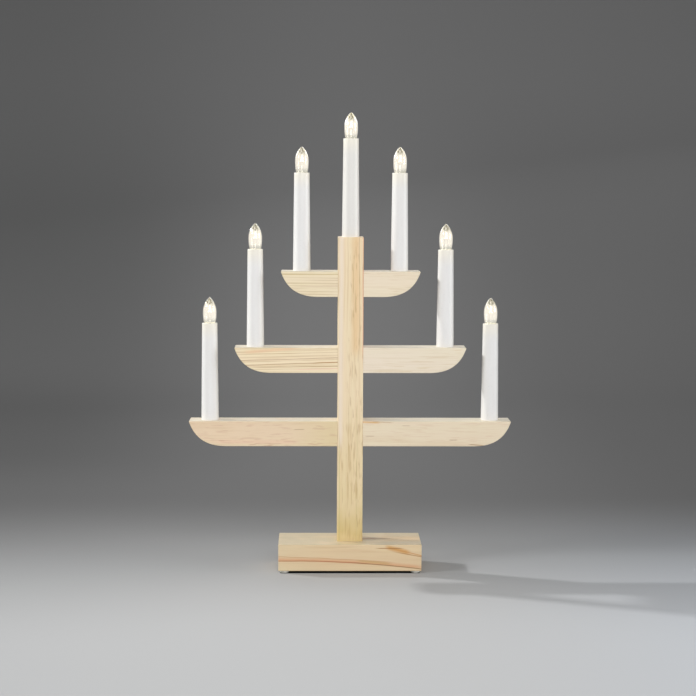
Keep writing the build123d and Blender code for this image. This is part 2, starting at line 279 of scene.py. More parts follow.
def pine(name, run, heart, pale, tint, late, ring_gap, wander, strength, lean=(0, 0, 0),
         sway=(26, 3.4), streaks=()):
    """Sanded and clear-lacquered pine with its grain running one way."""
    finish, tree, surface = start_finish(name)
    place, year = pine_rings(tree, run, heart, lean, ring_gap, wander, sway)
    patch = speckle(tree, stretched(tree, place, 45, 5), 1.0, 3.0)
    fibre = speckle(tree, stretched(tree, place, 1500, 45), 1.0, 3.0, 0.6)
    hairs = speckle(tree, stretched(tree, place, 620, 16), 1.0, 2.0)
    fading = speckle(tree, stretched(tree, place, 0.45 / ring_gap, 14), 1.0, 1.0)
    lines = product(
        tree, ramped(tree, year, year_tones), spread(tree, fading, 0.38, 0.62, 0.15, 1.0)
    )
    body = blended(tree, spread(tree, patch, 0.35, 0.65), pale, tint)
    colour = blended(tree, product(tree, lines, strength), body, late)
    colour = blended(tree, spread(tree, fibre, 0.52, 0.82, 0.0, 0.34), colour, late)
    colour = blended(tree, spread(tree, hairs, 0.55, 0.8, 0.0, 0.4), colour, late)
    for streak in streaks:
        colour = streak(tree, colour)
    cover(tree, surface, {
        "Base Color": colour,
        "Roughness": spread(tree, hairs, 0.3, 0.8, 0.38, 0.50),
        "Specular IOR Level": 0.5,
    })
    raised(tree, surface, maths(tree, "ADD", fibre, lines), 0.00006, 0.5)
    return finish


def moulded(name, colour, roughness, texture=900.0):
    """Plain moulded plastic with the faintest texture."""
    finish, tree, surface = start_finish(name)
    place = object_place(tree)
    cloud = speckle(tree, place, 60.0, 2.0)
    grit = speckle(tree, place, texture, 2.0)
    darker = tuple(part * 0.94 for part in colour[:3]) + (1.0,)
    cover(tree, surface, {
        "Base Color": blended(tree, cloud, colour, darker),
        "Roughness": spread(tree, grit, 0.3, 0.7, roughness - 0.04, roughness + 0.05),
    })
    raised(tree, surface, grit, 0.00002, 0.4)
    return finish


def metal(name, colour, dull, roughness):
    """Plain metal, a little dulled in patches."""
    finish, tree, surface = start_finish(name)
    place = object_place(tree)
    bloom = speckle(tree, place, 420.0, 4.0, 0.6)
    scratch = speckle(tree, stretched(tree, place, 2500, 300), 1.0, 2.0)
    cover(tree, surface, {
        "Base Color": blended(tree, spread(tree, bloom, 0.45, 0.7), colour, dull),
        "Metallic": 1.0,
        "Roughness": spread(tree, bloom, 0.3, 0.75, roughness, roughness + 0.18),
    })
    raised(tree, surface, scratch, 0.00001, 0.4)
    return finish


def candle_plastic(name, rim, white, cloud_white):
    """White sleeve plastic, with the lamp's light painted in by its rim as a warmer colour and a
    faint glow.
    """
    finish, tree, surface = start_finish(name)
    place = object_place(tree)
    height = axes_of(tree, place)["Z"]
    cloud = speckle(tree, stretched(tree, place, 70, 12), 1.0, 2.0)
    grit = speckle(tree, place, 700.0, 2.0)
    painted_bulb_light = spread(tree, height, rim - bulb_light_reach, rim - bulb_light_full, 0.0, 0.85)
    painted_glow = spread(tree, height, rim - bulb_glow_reach, rim)
    clouded = blended(tree, cloud, white, cloud_white)
    cover(tree, surface, {
        "Base Color": blended(tree, painted_bulb_light, clouded, shade(244, 239, 226)),
        "Emission Color": blended(tree, product(tree, painted_glow, painted_glow), black, shade(46, 40, 28)),
        "Emission Strength": 1.0,
        "Roughness": spread(tree, grit, 0.3, 0.7, 0.27, 0.36),
    })
    raised(tree, surface, grit, 0.00002, 0.35)
    return finish


def bulb_glass(name, middle, rim, tip_tint):
    """Clear glass with the lamp's glow painted in over most of its height, painted dark at its tip,
    and a painted glint at its apex.
    """
    finish, tree, surface = start_finish(name)
    about = vector_maths(tree, "SUBTRACT", object_place(tree), (middle, 0.0, rim))
    rise = axes_of(tree, about)["Z"]
    ripple = speckle(tree, stretched(tree, about, 620, 90), 1.0, 2.0)
    wavy = product(
        tree, spread(tree, ripple, 0.3, 0.7, -glow_waver, glow_waver),
        spread(tree, rise, waver_start, waver_full, 0.25, 1.0),
    )
    upward = even_share(tree, maths(tree, "ADD", rise, wavy), 0.0, glass_rise)
    tip_dark_share = product(
        tree, spread(tree, upward, 0.77, 0.90), spread(tree, upward, 0.93, 0.98, 1.0, 0.1)
    )
    cover(tree, surface, {
        "Base Color": blended(tree, tip_dark_share, shade(250, 249, 244), tip_tint),
        "Transmission Weight": 1.0,
        "IOR": glass_ior,
        "Roughness": spread(tree, ripple, 0.3, 0.7, 0.0, 0.03),
        "Emission Color": ramped(tree, upward, painted_glow_tones),
        "Emission Strength": 0.22,
    })
    return finish


def glowing_wire(name):
    """The hot wire of the coil."""
    finish, tree, surface = start_finish(name)
    heat = speckle(tree, object_place(tree), 900.0, 1.0)
    cover(tree, surface, {
        "Base Color": shade(120, 110, 100),
        "Roughness": 0.5,
        "Emission Color": blended(tree, heat, shade(255, 226, 170), shade(255, 240, 205)),
        "Emission Strength": 6.0,
    })
    return finish


def stem_glass(name):
    """The stem's glass, a little hazy."""
    finish, tree, surface = start_finish(name)
    haze = speckle(tree, stretched(tree, object_place(tree), 300, 80), 1.0, 2.0)
    cover(tree, surface, {
        "Base Color": shade(246, 247, 242),
        "Transmission Weight": 0.85,
        "IOR": glass_ior,
        "Roughness": spread(tree, haze, 0.3, 0.7, 0.02, 0.12),
    })
    return finish


def bulb_foot(name, joint):
    """Black fused insulator above the joint height, tinned solder below it."""
    finish, tree, surface = start_finish(name)
    place = object_place(tree)
    solder = maths(tree, "LESS_THAN", axes_of(tree, place)["Z"], joint)
    mottle = speckle(tree, place, 900.0, 3.0)
    insulator = blended(tree, mottle, shade(22, 21, 24), shade(38, 36, 40))
    tin = blended(tree, mottle, shade(196, 197, 198), shade(160, 160, 158))
    cover(tree, surface, {
        "Base Color": blended(tree, solder, insulator, tin),
        "Metallic": solder,
        "Roughness": spread(tree, mottle, 0.3, 0.7, 0.16, 0.34),
    })
    raised(tree, surface, mottle, 0.00004, 0.4)
    return finish


def within(tree, value, ends, widest):
    """1 between two ends and 0 outside, fading over a quarter of their gap or of widest."""
    low, high = ends
    fade = 0.25 * min(high - low, widest)
    return product(
        tree, spread(tree, value, low, low + fade), spread(tree, value, high - fade, high, 1.0, 0.0)
    )


def grain_line(run, level, slope, bend, above, below, colour, share, ends=(-1.0, 1.0),
               front=stock_front, deep=0.05, ripple=0.0006):
    """A sheet of colour along the grain, given by its line on the front face of a board.

    The line lies at level + slope * along + bend * along * along, and its colour fades out over
    one width above it and another below it. Behind the front face the sheet rises or sinks.
    """
    def streak(tree, under):
        place = object_place(tree)
        axes = axes_of(tree, place)
        along, across = (axes[axis] for axis in grain_axes[run])
        bent = maths(tree, "MULTIPLY_ADD", along, bend, slope)
        start = level - deep * front - ripple
        rise = maths(tree, "MULTIPLY_ADD", along, bent, start)
        sheet = maths(tree, "MULTIPLY_ADD", axes["Y"], deep, rise)
        rippled = vector_maths(tree, "MULTIPLY", place, ripple_scales[run])
        noise = speckle(tree, rippled, 1.0, 2.0)
        wavy = maths(tree, "MULTIPLY_ADD", noise, 2 * ripple, sheet)
        off = maths(tree, "SUBTRACT", across, wavy)
        inside = product(
            tree, spread(tree, off, -below, 0.0), spread(tree, off, 0.0, above, 1.0, 0.0)
        )
        shown = product(tree, product(tree, inside, within(tree, along, ends, 0.08)), share)
        return blended(tree, shown, under, colour)
    return streak


def toned_end(axis, start, full, colour, share):
    """One end of a board, turning to a colour from one place to another along an axis."""
    def streak(tree, under):
        place = object_place(tree)
        patchy = spread(tree, speckle(tree, place, 40.0, 2.0), 0.3, 0.6, 0.6 * share, share)
        tone = even_share(tree, axes_of(tree, place)[axis], start, full)
        return blended(tree, product(tree, tone, patchy), under, colour)
    return streak


def painted_top_sheen_and_shade(node_name, colour, share):
    """The top of a board, a little off the colour of its front: painted sheen and shade."""
    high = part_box(node_name)[1].z
    return toned_end("Z", high - painted_top_start, high - painted_top_full, colour, share)


def flecks(run, across, along, colour, share, ends=(-1.0, 1.0), levels=(-1.0, 1.0)):
    """Short darker fibres along the grain, inside a stretch along it and a band across it."""
    def streak(tree, under):
        place = object_place(tree)
        axes = axes_of(tree, place)
        scale = (along, across, across) if run == "lengthwise" else (across, across, along)
        fibres = speckle(tree, vector_maths(tree, "MULTIPLY", place, scale), 1.0, 1.0)
        shown = product(tree, spread(tree, fibres, 0.58, 0.70), share)
        for axis, band in zip(grain_axes[run], (ends, levels)):
            shown = product(tree, shown, within(tree, axes[axis], band, 0.04))
        return blended(tree, shown, under, colour)
    return streak


# Marks for the post, an arm and the base, by the run of their grain and their front faces
post_line = partial(grain_line, "upright")
arm_line = partial(grain_line, "lengthwise")
base_line = partial(grain_line, "lengthwise", front=base_front)
post_flecks = partial(flecks, "upright")
arm_flecks = partial(flecks, "lengthwise")

# Woods of the marks
late_wood = shade(205, 170, 124)
red_wood = shade(186, 120, 78)
orange_wood = shade(224, 174, 132)
brown_wood = shade(172, 132, 88)
tan_wood = shade(206, 172, 120)
olive_wood = shade(212, 192, 140)
pink_wood = shade(240, 200, 174)
# The tops of the arms take a painted sheen and shade, not a wood
arm_top_sheen_and_shade = shade(220, 210, 187)

# Each board has the heart of its tree, its pale, tinted and late wood, its rings and its marks.
# The numbers of a line are its level, slope and bend, and its widths above and below.
boards = {
    "post": pine(
        "pine_post", "upright", (0.045, -0.035, 0.0),
        shade(243, 224, 188), shade(245, 222, 188), shade(216, 184, 134),
        ring_gap=0.0036, wander=0.005, strength=0.35, sway=(34, 9), streaks=(
            # Towards its foot the post turns darker and more golden: the golden tone is its wood,
            # the darkening painted shade
            toned_end("Z", 0.20, 0.05, shade(229, 208, 156), 0.85),
            toned_end("Z", 0.080, 0.034, shade(208, 182, 112), 0.75),
            post_line(-0.0115, 0.004, 0.0, 0.0040, 0.0040, shade(243, 226, 206), 0.8,
                      ends=(0.13, 0.60)),
            post_line(0.0062, 0.0, 0.0, 0.0075, 0.0088, shade(236, 200, 150), 0.75,
                      ends=(0.235, 0.45), ripple=0.0022),
            post_line(0.0020, 0.004, 0.0, 0.0006, 0.0008, tan_wood, 0.5,
                      ends=(0.27, 0.37), ripple=0.0016),
            post_line(-0.0045, 0.004, 0.0, 0.0005, 0.0006, tan_wood, 0.35,
                      ends=(0.29, 0.45), ripple=0.0012),
            post_line(0.0110, -0.004, 0.0, 0.0006, 0.0007, shade(190, 152, 104), 0.6,
                      ends=(0.24, 0.40), ripple=0.0010),
            post_line(0.0052, -0.004, 0.0, 0.0007, 0.0006, tan_wood, 0.5,
                      ends=(0.20, 0.30), ripple=0.0014),
            post_line(-0.0030, 0.006, 0.0, 0.0008, 0.0006, tan_wood, 0.5,
                      ends=(0.06, 0.20), ripple=0.0014),
            post_line(-0.0118, 0.0, 0.0, 0.0008, 0.0006, shade(196, 184, 118), 0.6,
                      ends=(0.02, 0.16), ripple=0.0006),
            post_line(0.0075, 0.0, 0.0, 0.0010, 0.0006, olive_wood, 0.7,
                      ends=(0.02, 0.20), ripple=0.0012),
            post_line(0.0140, 0.0, 0.0, 0.0030, 0.0014, shade(230, 160, 122), 0.75,
                      ends=(0.23, 0.60), ripple=0.0004),
            post_flecks(620, 60, shade(188, 152, 104), 0.45, levels=(-0.007, 0.03)),
            post_flecks(460, 36, shade(196, 162, 108), 0.40, ends=(0.03, 0.17)),
        ),
    ),
    "arm_lower_left": pine(
        "pine_lower_left", "lengthwise", (0.170, -0.05, 0.3),
        shade(236, 215, 181), shade(237, 212, 181), late_wood,
        ring_gap=0.0065, wander=0.006, strength=0.18, streaks=(
            toned_end("X", -0.07, -0.02, shade(228, 208, 162), 0.7),
            arm_line(0.1455, 0.0, 0.0, 0.004, 0.004, pink_wood, 0.5, ends=(-0.16, -0.05)),
            arm_line(0.1595, 0.0, 0.0, 0.0008, 0.0006, brown_wood, 0.6, ends=(-0.064, -0.050)),
            arm_flecks(520, 60, shade(200, 150, 120), 0.25),
            arm_flecks(560, 60, shade(204, 154, 122), 0.60, levels=(0.10, 0.154)),
            painted_top_sheen_and_shade("arm_lower_left", arm_top_sheen_and_shade, 0.9),
        ),
    ),
    "arm_lower_right": pine(
        "pine_lower_right", "lengthwise", (0.165, -0.06, 0.9),
        shade(238, 223, 194), shade(238, 220, 194), late_wood,
        ring_gap=0.0052, wander=0.004, strength=0.16, streaks=(
            arm_flecks(520, 50, shade(206, 164, 128), 0.17),
            arm_line(0.1690, -0.050, 0.0, 0.0020, 0.0022, shade(226, 180, 122), 0.9,
                     ends=(0.004, 0.036), deep=0.0, ripple=0.0003),
            arm_line(0.1692, -0.034, 0.0, 0.0004, 0.0007, shade(188, 146, 98), 0.85,
                     ends=(0.020, 0.050), deep=0.0, ripple=0.0002),
            arm_line(0.1550, -0.091, 0.0, 0.0006, 0.0008, shade(170, 132, 88), 0.9,
                     ends=(0.131, 0.154), deep=0.0, ripple=0.0002),
            arm_line(0.1478, 0.0, 0.0, 0.0006, 0.0007, brown_wood, 0.75,
                     ends=(0.110, 0.121), ripple=0.0003),
            arm_line(0.1520, 0.0, 0.0, 0.0006, 0.0007, brown_wood, 0.55,
                     ends=(0.016, 0.028), ripple=0.0003),
            arm_line(0.1640, 0.0, 0.0, 0.0006, 0.0007, brown_wood, 0.5,
                     ends=(0.057, 0.068), ripple=0.0003),
            painted_top_sheen_and_shade("arm_lower_right", arm_top_sheen_and_shade, 0.9),
        ),
    ),
    "arm_middle_left": pine(
        "pine_middle_left", "lengthwise", (0.300, 0.012, 1.7),
        shade(246, 229, 194), shade(248, 229, 196), shade(204, 172, 126),
        ring_gap=0.0040, wander=0.004, strength=0.5, lean=(0, 0.02, 0), streaks=(
            arm_line(0.2562, 0.086, 0.0, 0.0034, 0.0034, shade(240, 200, 158), 0.75,
                     ends=(-0.126, -0.050)),
            arm_line(0.2464, 0.020, 0.0, 0.0006, 0.0006, tan_wood, 0.7, ends=(-0.125, -0.050)),
            arm_line(0.24085, 0.0315, 0.0, 0.0006, 0.0007, shade(190, 152, 110), 0.85),
            arm_line(0.2358, 0.035, 0.0, 0.0006, 0.0009, shade(182, 140, 92), 0.9),
            arm_line(0.2358, 0.035, 0.0, 0.0008, 0.0009, shade(184, 134, 72), 0.9,
                     ends=(-0.050, 0.02)),
            arm_line(0.2313, 0.020, 0.0, 0.0007, 0.0009, shade(178, 136, 80), 0.85,
                     ends=(-0.060, 0.02)),
            arm_line(0.2313, 0.020, 0.0, 0.0005, 0.0007, shade(188, 148, 100), 0.75,
                     ends=(-0.115, -0.04)),
            arm_line(0.2284, 0.020, 0.0, 0.0009, 0.0009, pink_wood, 0.8, ends=(-0.07, 0.01)),
            arm_line(0.2504, 0.007, 0.0, 0.0005, 0.0006, brown_wood, 0.5, ends=(-0.075, 0.0)),
            painted_top_sheen_and_shade("arm_middle_left", arm_top_sheen_and_shade, 0.9),
        ),
    ),
    "arm_middle_right": pine(
        "pine_middle_right", "lengthwise", (0.290, -0.07, 2.3),
        shade(241, 229, 204), shade(241, 226, 205), shade(216, 194, 158),
        ring_gap=0.0034, wander=0.003, strength=0.20, streaks=(
            arm_flecks(520, 36, shade(216, 192, 150), 0.35),
            painted_top_sheen_and_shade("arm_middle_right", arm_top_sheen_and_shade, 0.9),
        ),
    ),
    "arm_upper_left": pine(
        "pine_upper_left", "lengthwise", (0.390, 0.008, 3.1),
        shade(241, 226, 192), shade(242, 224, 194), shade(204, 178, 130),
        ring_gap=0.0031, wander=0.004, strength=0.62, lean=(0, -0.008, 0), streaks=(
            arm_line(0.3202, 0.0, 0.0, 0.0005, 0.0007, shade(196, 160, 118), 0.8,
                     ends=(-0.065, 0.0)),
            arm_line(0.3334, 0.010, 0.0, 0.0007, 0.0007, shade(206, 182, 122), 0.8),
            painted_top_sheen_and_shade("arm_upper_left", arm_top_sheen_and_shade, 0.9),
        ),
    ),
    "arm_upper_right": pine(
        "pine_upper_right", "lengthwise", (0.380, -0.07, 3.9),
        shade(241, 227, 199), shade(241, 225, 200), shade(214, 190, 150),
        ring_gap=0.0032, wander=0.003, strength=0.20, streaks=(
            arm_flecks(520, 36, shade(214, 188, 146), 0.35),
            painted_top_sheen_and_shade("arm_upper_right", arm_top_sheen_and_shade, 0.9),
        ),
    ),
    "base_block": pine(
        "pine_base", "lengthwise", (0.120, 0.02, 5.2),
        shade(233, 209, 170), shade(229, 202, 164), shade(208, 172, 126),
        ring_gap=0.0075, wander=0.008, strength=0.22, streaks=(
            toned_end("X", -0.03, -0.08, shade(222, 207, 172), 0.45),
            base_line(0.0124, -0.0560, -0.28, 0.0046, 0.0012, orange_wood, 0.9, ends=(-1.0, 0.09)),
            base_line(0.0150, -0.0800, -0.30, 0.0020, 0.0024, shade(204, 168, 108), 0.7,
                      ends=(0.004, 0.05)),
            base_line(0.0154, -0.0560, -0.13, 0.0005, 0.0008, shade(198, 148, 100), 0.7,
                      ends=(-1.0, 0.056)),
            base_line(0.0122, -0.0570, -0.435, 0.0008, 0.0014, red_wood, 1.0,
                      ends=(-1.0, 0.03), ripple=0.0004),
            base_line(0.0122, -0.0570, -0.435, 0.0006, 0.0012, shade(160, 116, 70), 1.0,
                      ends=(0.0, 1.0), ripple=0.0004),
            base_line(0.03935, -0.243, 0.0, 0.0046, 0.0042, shade(213, 157, 88), 0.95,
                      ends=(0.037, 0.070), deep=0.03, ripple=0.0003),
            base_line(0.03935, -0.243, 0.0, 0.0010, 0.0010, shade(206, 150, 92), 0.9,
                      ends=(0.054, 0.12), deep=0.03, ripple=0.0003),
            base_line(0.03322, -0.180, 0.0, 0.0006, 0.0011, shade(178, 124, 66), 0.9,
                      ends=(0.044, 0.12), deep=0.03, ripple=0.0003),
            base_line(0.0287, -0.010, 0.0, 0.0007, 0.0010, shade(168, 118, 64), 0.95,
                      ends=(0.026, 0.062), deep=0.03, ripple=0.0003),
            base_line(0.0296, -0.0040, 0.0, 0.0004, 0.0006, brown_wood, 0.35, ends=(-0.060, 0.012)),
            # Painted sheen and shade on the top of the base
            painted_top_sheen_and_shade("base_block", shade(199, 184, 150), 0.95),
            base_line(0.0720, 0.0, 0.0, 0.0300, 0.0300, shade(222, 180, 124), 0.42,
                      ends=(0.025, 0.12), deep=-1.2),
            # Brown wedge on the base top beside the post: partly grain, partly painted shadow of
            # the post
            base_line(0.0720, 0.0, 0.0, 0.0110, 0.0120, shade(164, 128, 88), 0.6,
                      ends=(0.004, 0.034), deep=-1.2),
            base_line(0.0720, 0.0, 0.0, 0.0050, 0.0060, shade(150, 110, 68), 0.7,
                      ends=(0.006, 0.048), deep=-1.2),
        ),
    ),
}

brass = metal("brass", shade(222, 190, 122), shade(184, 150, 92), 0.22)
zinc = metal("zinc_plate", shade(206, 205, 198), shade(170, 168, 158), 0.30)
filament_wire = glowing_wire("filament_wire")
lead_wire = metal("lead_wire", shade(176, 172, 164), shade(140, 134, 126), 0.34)
plain_finishes = {
    "foot_pads": moulded("pad_plastic", shade(253, 251, 240), 0.4),
    "base_screws": zinc,
    "arm_dowels": pine(
        "dowel_wood", "lengthwise", (0.0, 0.02, 0.0),
        shade(226, 200, 160), shade(220, 192, 150), shade(190, 150, 100),
        ring_gap=0.0016, wander=0.002, strength=0.5,
    ),
    "series_wiring": moulded("wire_insulation", shade(238, 237, 232), 0.38, 1400.0),
    "wire_clips": moulded("clip_plastic", shade(228, 227, 220), 0.45),
    "cord_bush": moulded("bush_plastic", shade(232, 231, 226), 0.42),
    "candle_foot_plugs": moulded("plug_plastic", shade(236, 235, 230), 0.46),
    "holder_contacts": brass,
}


def dress(node_name, finish):
    """Gives a piece of the frame its finish."""
    for material_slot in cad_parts[node_name].material_slots:
        material_slot.material = finish


for node_name, finish in (*boards.items(), *plain_finishes.items()):
    dress(node_name, finish)


# Shapes

# Edges that turn by more than this stay sharp
crease_angle = math.radians(40)


def only(items, kind):
    """The items that are of one kind."""
    return [item for item in items if isinstance(item, kind)]


def chain(shape, places):
    """Adds points to a shape, each joined to the next one."""
    points = [shape.verts.new(place) for place in places]
    for start, end in zip(points, points[1:]):
        shape.edges.new((start, end))


def wound_thread(start, end, crest_radius):
    """A tube of rolled right-hand thread about Z that reaches past both heights."""
    shape = bmesh.new()
    profile = []
    for step in range(profile_steps + 1):
        share = step / profile_steps
        radius = crest_radius - thread_depth * (1 - math.cos(2 * math.pi * share)) / 2
        profile.append((radius, 0.0, start - thread_pitch + share * thread_pitch))
    chain(shape, profile)
    turns = math.ceil((end - start) / thread_pitch) + 1
    bmesh.ops.spin(
        shape, geom=shape.verts[:] + shape.edges[:], cent=(0, 0, 0), axis=(0, 0, 1),
        dvec=(0, 0, thread_pitch / turn_steps), angle=2 * math.pi * turns,
        steps=turn_steps * turns, use_merge=False,
    )
    bmesh.ops.remove_doubles(shape, verts=shape.verts[:], dist=thread_pitch / 1000)
    return shape


def trim(shape, height, side):
    """Cuts away what lies above a height for side 1, or below it for side -1."""
    bmesh.ops.bisect_plane(
        shape, geom=shape.verts[:] + shape.edges[:] + shape.faces[:], dist=1e-7,
        plane_co=(0, 0, height), plane_no=(0, 0, side), clear_outer=True,
    )


def eased(value, low, high):
    """0 below the lower value, 1 above the higher one and smooth between them."""
    share = min(max((value - low) / (high - low), 0.0), 1.0)
    return share * share * (3 - 2 * share)


def fade_thread(shape, crest_radius, ends):
    """Flattens the thread to its crests outside the heights where it is full."""
    low_start, low_end, high_start, high_end = ends
    for point in shape.verts:
        depth = crest_radius - point.co.xy.length
        faded_in = eased(point.co.z, low_start, low_end)
        full = faded_in * (1 - eased(point.co.z, high_start, high_end))
        point.co.xy = point.co.xy.normalized() * (crest_radius - depth * full)


def grow_rim(shape, height, radius_change, rise):
    """Draws a rim on, outwards or inwards and up or down."""
    rim = [
        edge for edge in shape.edges
        if edge.is_boundary and all(abs(point.co.z - height) < 1e-6 for point in edge.verts)
    ]
    grown = bmesh.ops.extrude_edge_only(shape, edges=rim)["geom"]
    for point in only(grown, bmesh.types.BMVert):
        point.co.xy = point.co.xy.normalized() * (point.co.xy.length + radius_change)
        point.co.z = height + rise


def settle(shape, name, body, finish, replaced=(), wall=0.0, offset=-1.0):
    """Makes a shape a piece that rides on a body, with an even wall where it has one."""
    bmesh.ops.recalc_face_normals(shape, faces=shape.faces[:])
    for face in shape.faces:
        face.smooth = True
    mesh = bpy.data.meshes.new(name)
    shape.to_mesh(mesh)
    shape.free()
    mesh.set_sharp_from_angle(angle=crease_angle)
    mesh.materials.append(finish)
    piece = bpy.data.objects.new(name, mesh)
    bpy.context.scene.collection.objects.link(piece)
    if wall:
        skin = piece.modifiers.new("wall", "SOLIDIFY")
        skin.thickness = wall
        skin.offset = offset
    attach(piece, body)
    if replaced:
        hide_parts(*replaced)


def make_cap(name, middle, low, high, radius):
    """The threaded cap of a bulb, with a plain collar round the neck and a drawn-in foot."""
    edge = high - cap_edge_height
    shape = wound_thread(low - thread_pitch, high, radius)
    trim(shape, low, -1)
    trim(shape, edge, 1)
    # The thread fades out under the collar alone: its fade at the foot lies far below the cap
    fade_thread(shape, radius, (low - 1, low - 0.5, low + cap_thread_end, low + neck_foot))
    root = radius - thread_depth
    for point in shape.verts:
        lead = eased(point.co.z, low, low + cap_lead_in)
        point.co.xy = point.co.xy.normalized() * (root + (point.co.xy.length - root) * lead)
    grow_rim(shape, edge, -cap_edge_draw, cap_edge_height)
    bmesh.ops.translate(shape, verts=shape.verts[:], vec=(middle, 0, 0))
    settle(
        shape, f"bulb_cap_thread_{name}", f"bulb_turn_{name}", brass,
        (f"bulb_cap_{name}",), wall=metal_wall,
    )


def threaded_shell(middle, low, thread_start, inside, collar):
    """One threaded shell, open at both ends, with a plain mouth for the collar of the cap."""
    high = low + shell_height
    shape = wound_thread(thread_start - 2 * thread_pitch, high, inside)
    trim(shape, low, -1)
    trim(shape, high, 1)
    fade_thread(shape, inside, (
        low, low + shell_lead_in, collar - shell_fade_start, collar - shell_fade_end,
    ))
    bmesh.ops.translate(shape, verts=shape.verts[:], vec=(middle, 0, 0))
    return shape


def join_into(whole, part):
    """Adds one shape to another."""
    mesh = bpy.data.meshes.new("part")
    part.to_mesh(mesh)
    part.free()
    whole.from_mesh(mesh)
    bpy.data.meshes.remove(mesh)


def turned_solid(profile):
    """A closed solid of revolution about Z from pairs of a radius and a height."""
    shape = bmesh.new()
    chain(shape, [(radius, 0.0, height) for radius, height in profile])
    bmesh.ops.spin(
        shape, geom=shape.verts[:] + shape.edges[:], cent=(0, 0, 0), axis=(0, 0, 1),
        angle=2 * math.pi, steps=stem_steps, use_merge=True,
    )
    bmesh.ops.remove_doubles(shape, verts=shape.verts[:], dist=1e-7)
    return shape


def drawn_wire(points):
    """A lead wire through points that rise, closed at both ends."""
    shape = bmesh.new()
    bmesh.ops.create_circle(shape, cap_ends=True, segments=lead_sides, radius=lead_radius)
    bmesh.ops.translate(shape, verts=shape.verts[:], vec=points[0])
    faces = shape.faces[:]
    for start, end in zip(points, points[1:]):
        grown = bmesh.ops.extrude_face_region(shape, geom=faces)["geom"]
        if start is not points[0]:
            bmesh.ops.delete(shape, geom=faces, context="FACES_ONLY")
        faces = only(grown, bmesh.types.BMFace)
        bmesh.ops.translate(
            shape, verts=only(grown, bmesh.types.BMVert), vec=Vector(end) - Vector(start)
        )
    return shape


def make_coil(reach, height):
    """The glowing coil: a spring wound straight along Z, then bent into a bow."""
    coil_radius = 0.00024
    wire_radius = 0.00006
    coil_pitch = 0.00025
    length = math.pi * reach
    turns = round(length / coil_pitch)
    steps = 10
    sides = 6
    shape = bmesh.new()
    bmesh.ops.create_circle(shape, cap_ends=False, segments=sides, radius=wire_radius)
    bmesh.ops.rotate(
        shape, verts=shape.verts[:], cent=(0, 0, 0), matrix=Matrix.Rotation(math.pi / 2, 3, "X")
    )
    bmesh.ops.translate(shape, verts=shape.verts[:], vec=(coil_radius, 0, 0))
    bmesh.ops.spin(
        shape, geom=shape.verts[:] + shape.edges[:], cent=(0, 0, 0), axis=(0, 0, 1),
        dvec=(0, 0, length / turns / steps), angle=2 * math.pi * turns, steps=steps * turns,
        use_merge=False,
    )
    bmesh.ops.holes_fill(shape, edges=shape.edges[:], sides=sides)
    for point in shape.verts:
        around = math.pi * (1 - point.co.z / length)
        bow = reach + point.co.x
        point.co = (bow * math.cos(around), point.co.y, height + bow * math.sin(around))
    return shape


def make_bulb_inside(name, middle, low):
    """The pinched glass stem, its two lead wires and the coil between them."""
    stem = turned_solid([(radius, low + rise) for radius, rise in (
        (0.0, 0.0), (0.0034, 0.0), (0.0037, 0.0002), (0.0037, 0.0006), (0.0031, 0.0014),
        (0.0024, 0.0025), (0.00202, 0.0038), (0.0019, 0.0060), (0.0019, 0.0082),
        (0.0016, 0.0091), (0.0, 0.0095),
    )])
    for point in stem.verts:
        pinch = eased(point.co.z, low + 0.0040, low + 0.0065)
        point.co.y *= 1 - stem_pinch * pinch
    bmesh.ops.translate(stem, verts=stem.verts[:], vec=(middle, 0, 0))
    settle(
        stem, f"bulb_stem_{name}", f"bulb_turn_{name}", clear_stem,
        (f"bulb_filament_{name}",),
    )
    high = low + coil_rise
    leads = bmesh.new()
    for side in (-1, 1):
        join_into(leads, drawn_wire([
            (middle + side * off, 0, height) for off, height in (
                (0.0010, low + 0.0070), (0.0011, low + 0.0096), (0.0013, low + 0.0130),
                (coil_reach, low + 0.0170), (coil_reach, high),
                (coil_reach - 0.0001, high + 0.0002),
            )
        ]))
    settle(leads, f"lead_wires_{name}", f"bulb_turn_{name}", lead_wire)
    coil = make_coil(coil_reach, high)
    bmesh.ops.translate(coil, verts=coil.verts[:], vec=(middle, 0, 0))
    settle(coil, f"filament_coil_{name}", f"bulb_turn_{name}", filament_wire)


clear_stem = stem_glass("stem_glass")
sleeve_whites = (shade(236, 234, 231), shade(241, 240, 238))
# Darker, warmer whites for the top sleeve: a painted shade
top_sleeve_shaded_whites = (shade(231, 228, 222), shade(235, 233, 228))
